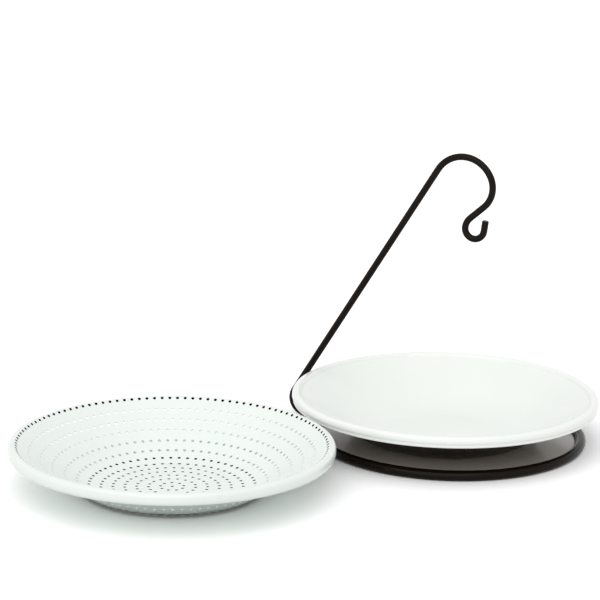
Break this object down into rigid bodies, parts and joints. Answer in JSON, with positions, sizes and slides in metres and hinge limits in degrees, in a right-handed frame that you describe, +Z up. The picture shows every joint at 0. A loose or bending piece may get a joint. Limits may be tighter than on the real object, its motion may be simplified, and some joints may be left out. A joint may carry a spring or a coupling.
{
  "type": "hanging bird feeding dish",
  "caption": "Wire hanger with a crook, a ringed base plate and a loose round dish, and a perforated dish of the same form that takes its place.",
  "frame": {"origin": "on the floor, midway between the two dishes, which is the middle of the part's box at its bottom", "axes": "+Z up; the hanger lies in a plane of constant Y with its rod on the -X side of the base; the perforated dish stands towards -X and -Y of the solid dish"},
  "size_m": [0.416, 0.502, 0.2578],
  "materials": {
    "black_wire": "satin",
    "grey_plate": "satin",
    "pale_enamel": "gloss"
  },
  "bodies": {
    "stand": {"hanger_wire": "black_wire", "base_ring": "black_wire", "base_plate": "grey_plate"},
    "solid_dish": {"solid_dish": "pale_enamel"},
    "perforated_dish": {"perforated_dish": "pale_enamel"}
  },
  "joints": [
    {"name": "solid_dish_lift", "type": "slide", "parent": "stand", "child": "solid_dish", "axis": [0.866, 0, 0.5], "range_m": [0, 0.31]},
    {"name": "perforated_dish_lift", "type": "slide", "parent": "stand", "child": "perforated_dish", "axis": [0, 0, 1], "range_m": [0, 0.3]}
  ]
}
